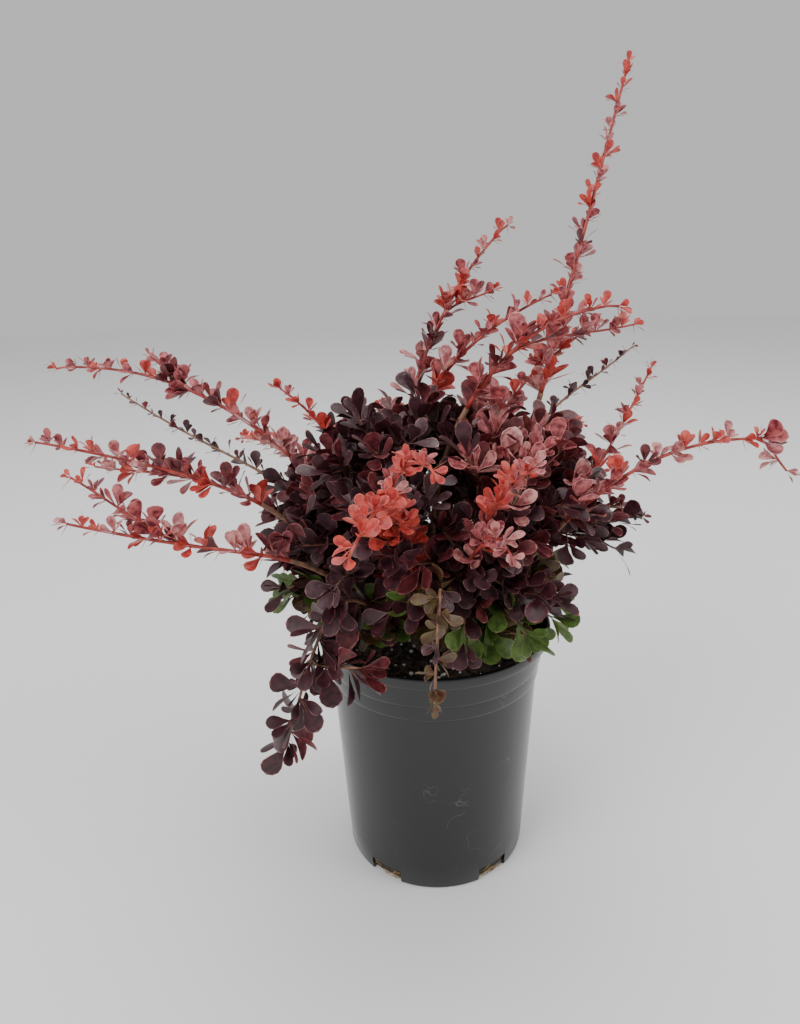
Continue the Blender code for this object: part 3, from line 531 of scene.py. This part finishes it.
heads = np.array([unit((limb['shoulder'] - STUMP_MIDDLE) * (1.25, 1.25, 1.0)) for limb in limbs])
for _ in range(600):
    for i in range(len(heads)):
        for j in range(i):
            if float(np.dot(heads[i], heads[j])) > math.cos(START_SPREAD):
                away = unit(heads[i] - heads[j]) * 0.012
                heads[i] = unit(heads[i] + away)
                heads[j] = unit(heads[j] - away)
    heads[:, 2] = np.maximum(heads[:, 2], -0.12)
    heads /= np.linalg.norm(heads, axis=1)[:, None]
STATIONS = 40
SHOULDER = 18
places = np.vstack([limb_line(STUMP_MIDDLE + head * (STUMP_RADIUS + GAP), head,
                              limb['shoulder'], limb['tip'], limb['arch'])
                    for limb, head in zip(limbs, heads)])
stops = [0, SHOULDER, STATIONS - 1]
thick = np.concatenate([np.interp(np.arange(STATIONS), stops, limb['thick']) for limb in limbs])
owner = np.repeat(np.arange(len(limbs)), STATIONS)
t = np.arange(STATIONS) / (STATIONS - 1.0)
ease = np.clip(np.minimum(t * 9.0 - 0.6, (1.0 - t) * 3.0 + 0.15), 0.0, 1.0)
ease = np.tile(ease, len(limbs))[:, None]
for _ in range(60):
    between = places[:, None, :] - places[None, :, :]
    far = np.linalg.norm(between, axis=2) + 1e-9
    need = thick[:, None] + thick[None, :] + LIMB_ROOM
    near = (far < need) & (owner[:, None] != owner[None, :])
    if not near.any():
        break
    push = np.where(near, (need - far) / far, 0.0)
    places = places + (between * push[..., None]).sum(1) * 0.28 * ease
    soft = places.reshape(len(limbs), STATIONS, 3)
    soft[:, 2:-2] = soft[:, 2:-2] * 0.7 + (soft[:, 1:-3] + soft[:, 3:-1]) * 0.15
    places = soft.reshape(-1, 3)

# Leafy stems: the outer part of each cane, the shoots, their forks, and the seeded twigs of
# the heart and the skirt, each a polyline with its thickness and the share that is bare.
BARE_SHARE = {'cane': 0.0, 'shoot': 0.28, 'heart': 0.55, 'skirt': 0.55}
FORK_START = {'cane': 0.0, 'shoot': 0.55}
FORK_BARE = 0.12
FORK_POINTS = 10
HEART_TWIGS = 15
SKIRT_TWIGS = 8
TWIG_TURN = 2.399
TWIG_BARE = 0.25
TWIG_POINTS = 7
SHORTEST_TWIG = 0.008
stems = []
growth = random.Random(7)
for k, limb in enumerate(limbs):
    limb['line'] = places.reshape(len(limbs), STATIONS, 3)[k]
    limb['radii'] = thick.reshape(len(limbs), STATIONS)[k]
    start = SHOULDER if limb['kind'] == 'cane' else 0
    limb['main'] = limb['line'][start:]
    stems.append((limb, limb['main'], limb['radii'][start:], BARE_SHARE[limb['kind']]))
by_name = {limb['name']: limb for limb in limbs}
for name, share, tip in FORKS:
    limb = by_name[name]
    first = FORK_START[limb['kind']]
    root, ahead = along(limb['main'], first + (1.0 - first) * share)
    tip = np.array(tip)
    reach = float(np.linalg.norm(tip - root))
    stems.append((limb, hermite(root, tip, ahead * reach * 0.8, tip - root, FORK_POINTS),
                  np.linspace(0.0011, 0.0007, FORK_POINTS), FORK_BARE))
for limb in limbs:
    if limb['kind'] not in ('heart', 'skirt'):
        continue
    tip = limb['main'][-1]
    out = unit(tip - HEART_MIDDLE) if limb['kind'] == 'heart' else unit(tip * (1, 1, 0))
    aside, other = across(out)
    twigs = HEART_TWIGS if limb['kind'] == 'heart' else SKIRT_TWIGS
    for k in range(twigs):
        turn = TWIG_TURN * k + growth.uniform(-0.3, 0.3)
        root, ahead = along(limb['main'], 0.40 + 0.52 * k / twigs)
        if limb['kind'] == 'heart':
            lean = 0.66 * math.sqrt((k + 0.5) / twigs) * growth.uniform(0.85, 1.15)
            way = unit(out + (aside * math.cos(turn) + other * math.sin(turn)) * lean)
            goal = HEART_MIDDLE + HEART_RADII * way * growth.uniform(0.70, 0.97)
        else:
            goal = root + out * growth.uniform(0.006, 0.030)
            goal = goal + aside * (-1) ** k * growth.uniform(0.3, 1.0) * 0.036
            goal = goal + np.array((0.0, 0.0, growth.uniform(-0.012, 0.024)))
        reach = float(np.linalg.norm(goal - root))
        if reach < SHORTEST_TWIG:
            continue
        curve = hermite(root, goal, ahead * reach * 0.7, goal - root, TWIG_POINTS)
        stems.append((limb, curve, np.linspace(0.0011, 0.0006, TWIG_POINTS), TWIG_BARE))

# Bark: the stump is dark and ribbed, the old boughs and inner twigs are warm brown, and the
# young leafy stems are smooth and crimson. Each stem is a round tapering tube along its line,
# grooved lengthwise, that swells into a knuckle at every third ring.
BOUGH_PITCH = 0.0045
BOUGH_SIDES = 9
STEM_PITCH = 0.0055
STEM_SIDES = 6
STEM_SHARE = 0.92

def round_stem(shapes, points, radii, sides, groove, knuckle):
    """Adds one closed tapering tube along points, grooved lengthwise and swollen at its buds."""
    verts, faces = shapes
    base = len(verts)
    aside = None
    for i, p in enumerate(points):
        ahead = unit(points[min(i + 1, len(points) - 1)] - points[max(i - 1, 0)])
        if aside is None:
            aside, _ = across(ahead)
        aside = unit(aside - ahead * float(np.dot(aside, ahead)))
        other = np.cross(ahead, aside)
        swell = 1.0 + (knuckle if i % 3 == 1 else 0.0)
        for k in range(sides):
            turn = 2.0 * math.pi * k / sides
            ridge = 1.0 + groove * math.sin(5.0 * turn + 0.7 * math.sin(i * 0.9))
            r = radii[i] * swell * ridge
            verts.append(p + r * (math.cos(turn) * aside + math.sin(turn) * other))
    for i in range(len(points) - 1):
        for k in range(sides):
            n = (k + 1) % sides
            faces.append((base + i * sides + k, base + i * sides + n,
                          base + (i + 1) * sides + n, base + (i + 1) * sides + k))
    faces.append(tuple(reversed(range(base, base + sides))))
    faces.append(tuple(range(len(verts) - sides, len(verts))))


def refined(points, radii, pitch):
    """A stem's points spread at an even pitch, with its thickness."""
    lengths = np.linalg.norm(np.diff(points, axis=0), axis=1)
    total = np.concatenate([[0.0], np.cumsum(lengths)])
    marks = np.linspace(0.0, total[-1], max(4, int(total[-1] / pitch)))
    spread = np.array([np.interp(marks, total, points[:, axis]) for axis in range(3)]).T
    return spread, np.interp(marks, total, radii)


old_bark = bumpy_finish('old_bark', (0.060, 0.040, 0.028), (0.210, 0.150, 0.100), 320.0, 0.82, 0.0006)
brown_bark = bumpy_finish('brown_bark', (0.130, 0.060, 0.035), (0.300, 0.150, 0.085), 240.0, 0.62, 0.0003)
red_bark = bumpy_finish('young_red_bark', (0.230, 0.020, 0.020), (0.480, 0.070, 0.050), 180.0, 0.42, 0.0002)
bpy.ops.mesh.primitive_uv_sphere_add(segments=40, ring_count=24, radius=STUMP_RADIUS)
stump = bpy.context.active_object
stump.name = 'stump_bark'
for vertex in stump.data.vertices:
    turn = math.atan2(vertex.co.y, vertex.co.x)
    down = max(0.0, -vertex.co.z / STUMP_RADIUS)
    flare = 1.0 + (STUMP_FLARE / STUMP_RADIUS - 1.0) * down ** 2
    if vertex.co.z < 0.0:
        flat = max(1e-5, vertex.co.xy.length)
        vertex.co.xy *= STUMP_RADIUS * flare / flat if flat > 0.002 else 1.0
        vertex.co.z *= (STUMP_MIDDLE[2] - SOIL_TOP - GAP) / STUMP_RADIUS
    ridge = 1.0 + 0.035 * math.sin(9.0 * turn + 2.0 * math.sin(2.0 * turn))
    vertex.co.xy *= ridge
    vertex.co += Vector(STUMP_MIDDLE)
stump.data.polygons.foreach_set('use_smooth', [True] * len(stump.data.polygons))
stump.data.materials.clear()
stump.data.materials.append(old_bark)
bpy.ops.object.select_all(action='DESELECT')
stump.select_set(True)
bpy.ops.object.transform_apply(location=True, rotation=True, scale=True)
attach(stump, "root")
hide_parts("stump")

boughs = ([], [])
for limb in limbs:
    if limb['kind'] == 'cane':
        points, radii = refined(limb['line'][:SHOULDER + 1], limb['radii'][:SHOULDER + 1], BOUGH_PITCH)
        round_stem(boughs, points, radii, BOUGH_SIDES, 0.05, 0.06)
old_boughs = joined('old_boughs', *boughs, [brown_bark])
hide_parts(*['bough_' + limb['name'] for limb in limbs if limb['kind'] == 'cane'])

DULL = ('right_thin', 'left_back', 'front_droop', 'left_droop', 'right_dark', 'back_droop')
young, brown = ([], []), ([], [])
for limb, points, radii, bare in stems:
    spread, thickness = refined(points, radii, STEM_PITCH)
    target = brown if limb['kind'] in ('heart', 'skirt') or limb['name'] in DULL else young
    round_stem(target, spread, thickness * STEM_SHARE, STEM_SIDES, 0.03, 0.10)
red_stems = joined('young_stems', *young, [red_bark])
brown_twigs = joined('brown_twigs', *brown, [brown_bark])

# Leaves: thin satin spoon-shaped blades with a narrow foot, a round tip and a pale margin,
# in tufts of two to six at every bud. Each tuft has one tint, dealt by its place: coral
# and rose on the outer canes, maroon and burgundy in the heart, bronze and green below.
TINTS = {
    'coral': ((0.62, 0.085, 0.060), (0.36, 0.030, 0.035), (0.78, 0.20, 0.15)),
    'rose': ((0.50, 0.130, 0.130), (0.17, 0.022, 0.035), (0.66, 0.26, 0.24)),
    'pink': ((0.62, 0.270, 0.250), (0.30, 0.060, 0.075), (0.74, 0.42, 0.38)),
    'maroon': ((0.170, 0.030, 0.036), (0.070, 0.010, 0.016), (0.42, 0.15, 0.14)),
    'burgundy': ((0.060, 0.013, 0.020), (0.026, 0.006, 0.010), (0.22, 0.080, 0.075)),
    'plum': ((0.085, 0.036, 0.044), (0.040, 0.014, 0.020), (0.26, 0.130, 0.120)),
    'bronze': ((0.105, 0.078, 0.026), (0.085, 0.026, 0.020), (0.22, 0.130, 0.060)),
    'green': ((0.100, 0.165, 0.030), (0.050, 0.090, 0.020), (0.20, 0.220, 0.070)),
}
LEAF_ROWS = [(0.00, 0.030), (0.16, 0.060), (0.36, 0.200), (0.54, 0.380), (0.70, 0.490), (0.84, 0.455),
             (0.95, 0.270)]
MARGIN = 0.05
FLESH_SCALE = 260.0
MARGIN_SCALE = 300.0
VEIN_SCALE = 900.0
BLOTCH_FADE = (0.40, 0.62)
UP = np.array((0.0, 0.0, 1.0))


def leaf_finish(name, light, dark, mottle):
    """Satin leaf flesh that wanders from its light tone to its dark one in small blotches."""
    material = bpy.data.materials.new(name)
    material.use_nodes = True
    nodes, links = material.node_tree.nodes, material.node_tree.links
    shader = nodes['Principled BSDF']
    shader.inputs['Roughness'].default_value = 0.42
    shader.inputs['Specular IOR Level'].default_value = 0.45
    blotch = placed_grain(nodes, light, dark, mottle, 3.0, BLOTCH_FADE)
    links.new(blotch.outputs['Colour'], shader.inputs['Base Color'])
    vein = placed_grain(nodes, light, dark, VEIN_SCALE, 2.0, BLOTCH_FADE)
    relief = nodes.new('ShaderNodeBump')
    relief.inputs['Strength'].default_value = 0.25
    relief.inputs['Distance'].default_value = 0.0002
    links.new(vein.outputs['Height'], relief.inputs['Height'])
    links.new(relief.outputs['Normal'], shader.inputs['Normal'])
    return material


def tint_at(limb, place, share):
    """The tint of a tuft, dealt by its limb, its place and how far out it grows."""
    pick = growth.random()
    name, kind = limb['name'], limb['kind']
    if kind == 'skirt':
        return 'green' if pick < 0.55 else 'bronze'
    if name in ('left_droop', 'back_droop'):
        return 'burgundy' if pick < 0.75 else 'maroon'
    if name == 'front_droop':
        return 'bronze' if pick < 0.5 else 'plum'
    if name in ('right_thin', 'left_back', 'right_dark'):
        return 'maroon' if pick < 0.45 else 'burgundy'
    if kind == 'heart':
        if place[2] < 0.236:
            return 'green' if pick < 0.40 else ('bronze' if pick < 0.65 else 'burgundy')
        if place[0] > 0.02 and place[2] > 0.29:
            return 'rose' if pick < 0.34 else ('maroon' if pick < 0.80 else 'pink')
        return 'burgundy' if pick < 0.50 else ('plum' if pick < 0.80 else 'maroon')
    if name == 'front_coral':
        return 'coral'
    if share > 0.55:
        return 'coral' if pick < 0.50 else ('rose' if pick < 0.85 else 'pink')
    return 'rose' if pick < 0.46 else ('pink' if pick < 0.62 else ('coral' if pick < 0.76 else 'maroon'))


LEAF_SIZE = {'cane': (0.0200, 0.0085), 'shoot': (0.0205, 0.0100), 'heart': (0.0250, 0.0215),
             'skirt': (0.0240, 0.0220), 'droop': (0.0250, 0.0240)}
PITCH = {'cane': 0.0082, 'shoot': 0.0085, 'heart': 0.0088, 'skirt': 0.0105}
TUFT = {'cane': 5, 'shoot': 5, 'heart': 4, 'skirt': 4}


def clear_of_pot(tip):
    """True when a leaf tip stays outside the pot wall and above its mix."""
    away = math.hypot(tip[0], tip[1])
    if tip[2] > POT_HEIGHT + 0.002:
        return True
    if away > LIP_RADIUS + 0.003:
        return True
    return away < 0.070 and tip[2] > SOIL_TOP + 0.004


leaves = {tint: [] for tint in TINTS}
spines = []
for limb, points, radii, bare in stems:
    kind, name = limb['kind'], limb['name']
    drooping = name.endswith('droop')
    long0, long1 = LEAF_SIZE['droop' if name in ('left_droop', 'back_droop') else kind]
    length = float(np.linalg.norm(np.diff(points, axis=0), axis=1).sum())
    buds = max(2, int(round(length * (1.0 - bare) / PITCH[kind])))
    slight = 0.72 if name in ('right_thin', 'left_back') else 1.0
    turn0 = growth.uniform(0.0, 6.28)
    for bud in range(buds + 1):
        share = bud / buds
        place, ahead = along(points, min(0.995, bare + (1.0 - bare) * share))
        aside, other = across(ahead)
        turn = turn0 + GOLDEN * bud
        radial = aside * math.cos(turn) + other * math.sin(turn)
        if kind == 'heart':
            outward = unit(place - HEART_MIDDLE)
            main = unit(radial * 0.7 + outward * 0.9 + UP * 0.25)
        elif kind == 'skirt':
            outward = unit(place * (1, 1, 0))
            main = unit(radial * 0.8 + outward * 0.8 + UP * growth.uniform(-0.5, 0.5))
        elif drooping:
            main = unit(radial * 0.9 + ahead * 0.5 - UP * 0.1)
        else:
            main = unit(radial * 0.75 + ahead * 0.35 + UP * 0.65)
        if bud == buds:
            main = unit(main * 0.4 + ahead)
        tint = tint_at(limb, place, share)
        size = (long0 + (long1 - long0) * share) * slight
        count = max(2, TUFT[kind] + growth.choice((-1, 0, 0, 1)) - (2 if slight < 1.0 else 0))
        m_aside, m_other = across(main)
        for k in range(count):
            around = GOLDEN * k + turn
            lean = 0.25 + 0.75 * math.sqrt(k / count)
            way = unit(main + (m_aside * math.cos(around) + m_other * math.sin(around)) * lean)
            face = unit(main + UP * 0.6 - way * 0.5)
            long = size * growth.uniform(0.70, 1.15) * (1.0 - 0.25 * k / count)
            if not clear_of_pot(place + way * long):
                continue
            wide = long * growth.uniform(0.46, 0.60)
            leaves[tint].append((place, way, face, long, wide, growth.uniform(-0.25, 0.45),
                                 growth.uniform(0.05, 0.32), growth.uniform(-0.5, 0.5)))
        if kind in ('cane', 'shoot') and bud > 0:
            prick = unit(radial * 0.9 + ahead * 0.25 - UP * 0.1)
            spines.append((place, prick, growth.uniform(0.006, 0.011)))


def leaf_meshes(rows):
    """Corners, faces and face kinds of many leaves at once; kind 1 is the pale margin."""
    root, way, face, long, wide, curl, cup, twist = [np.array(column) for column in zip(*rows)]
    side = np.cross(way, face)
    side /= np.linalg.norm(side, axis=1)[:, None]
    face = np.cross(side, way)
    columns = []
    for along_it, half in LEAF_ROWS:
        inner = max(half - MARGIN, half * 0.45)
        for aside in (-half, -inner, 0.0, inner, half):
            bend = curl * along_it ** 2 * 0.45
            dish = cup * (abs(aside) / 0.5) ** 1.6 * 0.5
            roll = twist * along_it * aside
            corner = (root + way * (long * along_it * (1.0 - 0.25 * bend ** 2))[:, None]
                      + side * (wide * aside)[:, None]
                      + face * (wide * (dish + roll) - long * bend * along_it)[:, None])
            columns.append(corner)
    bend = curl * 0.45
    columns.append(root + way * long[:, None] - face * (long * bend)[:, None])
    verts = np.stack(columns, axis=1)
    per = verts.shape[1]
    pattern, kinds = [], []
    for row in range(len(LEAF_ROWS) - 1):
        for k in range(4):
            a = row * 5 + k
            pattern.append((a, a + 1, a + 6, a + 5))
            kinds.append(1 if k in (0, 3) else 0)
    last = (len(LEAF_ROWS) - 1) * 5
    for k in range(4):
        pattern.append((last + k, last + k + 1, per - 1))
        kinds.append(1)
    faces = [tuple(c + n * per for c in corners) for n in range(len(rows)) for corners in pattern]
    return verts.reshape(-1, 3), faces, kinds * len(rows)


masses = ['mass_' + limb['name'] for limb in limbs]
for tint, rows in leaves.items():
    light, dark, rim = TINTS[tint]
    verts, faces, kinds = leaf_meshes(rows)
    flesh = leaf_finish(tint + '_leaf', light, dark, FLESH_SCALE)
    margin = leaf_finish(tint + '_margin', rim, light, MARGIN_SCALE)
    made = joined('leaves_' + tint, verts, faces, [flesh, margin], kinds)
    if tint == 'rose':
        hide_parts(*masses)

# Spines: hard straight thorns, straw to red brown, one at each tuft of a cane or a shoot.
# Each is a slim three-sided cone that leaves the stem across it and a little forward.
thorns = ([], [])
for place, way, long in spines:
    round_stem(thorns, np.array([place, place + way * long * 0.5, place + way * long]),
               np.array([0.00030, 0.00018, 0.00004]), 3, 0.0, 0.0)
thorn_finish = bumpy_finish('spine', (0.35, 0.10, 0.05), (0.50, 0.25, 0.12), 200.0, 0.4, 0.0001)
thorn_piece = joined('spines', *thorns, [thorn_finish])

# Studio: a plain pale floor under an evenly pale sky, three broad round lights, and a camera
# in front of the plant and level with its canes that looks down on it.
FLOOR_SIZE = 6.0
FLOOR_DROP = 0.0002
bpy.ops.mesh.primitive_plane_add(size=FLOOR_SIZE, location=(0.0, 0.0, -FLOOR_DROP))
floor = bpy.context.active_object
floor.name = 'studio_floor'
pale = bpy.data.materials.new('pale_floor')
pale.use_nodes = True
pale.node_tree.nodes['Principled BSDF'].inputs['Base Color'].default_value = (0.86, 0.86, 0.86, 1.0)
pale.node_tree.nodes['Principled BSDF'].inputs['Roughness'].default_value = 0.9
floor.data.materials.append(pale)
world = bpy.data.worlds.new('soft_room')
world.use_nodes = True
world.node_tree.nodes['Background'].inputs['Color'].default_value = (1.0, 1.0, 1.0, 1.0)
world.node_tree.nodes['Background'].inputs['Strength'].default_value = 0.62
bpy.context.scene.world = world
LAMPS = [('left_front_light', (-1.3, -1.2, 1.5), 1.4, 26.0), ('right_light', (1.5, -0.5, 1.2), 1.2, 12.0),
         ('top_light', (0.1, 0.5, 1.9), 1.6, 18.0)]
for name, spot, size, power in LAMPS:
    lamp = bpy.data.lights.new(name, 'AREA')
    lamp.shape = 'DISK'
    lamp.size = size
    lamp.energy = power
    holder = bpy.data.objects.new(name, lamp)
    holder.location = spot
    holder.rotation_euler = (Vector((0.0, 0.0, 0.25)) - Vector(spot)).to_track_quat('-Z', 'Y').to_euler()
    bpy.context.scene.collection.objects.link(holder)
CAMERA_PLACE = Vector((-0.0217, -0.509, 0.454))
CAMERA_PITCH = math.radians(20.45)
CAMERA_ROLL = math.radians(-1.54)
CAMERA_LENS = 28.125
sight = Vector((0.0, math.cos(CAMERA_PITCH), -math.sin(CAMERA_PITCH)))
right = Vector((1.0, 0.0, 0.0))
upward = right.cross(sight)
right_rolled = right * math.cos(CAMERA_ROLL) + upward * math.sin(CAMERA_ROLL)
up_rolled = upward * math.cos(CAMERA_ROLL) - right * math.sin(CAMERA_ROLL)
lens = bpy.data.cameras.new('camera')
lens.lens = CAMERA_LENS
lens.sensor_width = 36.0
lens.clip_start = 0.01
camera = bpy.data.objects.new('camera', lens)
camera.matrix_world = (Matrix.Translation(CAMERA_PLACE)
                       @ Matrix((right_rolled, up_rolled, -sight)).transposed().to_4x4())
bpy.context.scene.collection.objects.link(camera)
bpy.context.scene.camera = camera
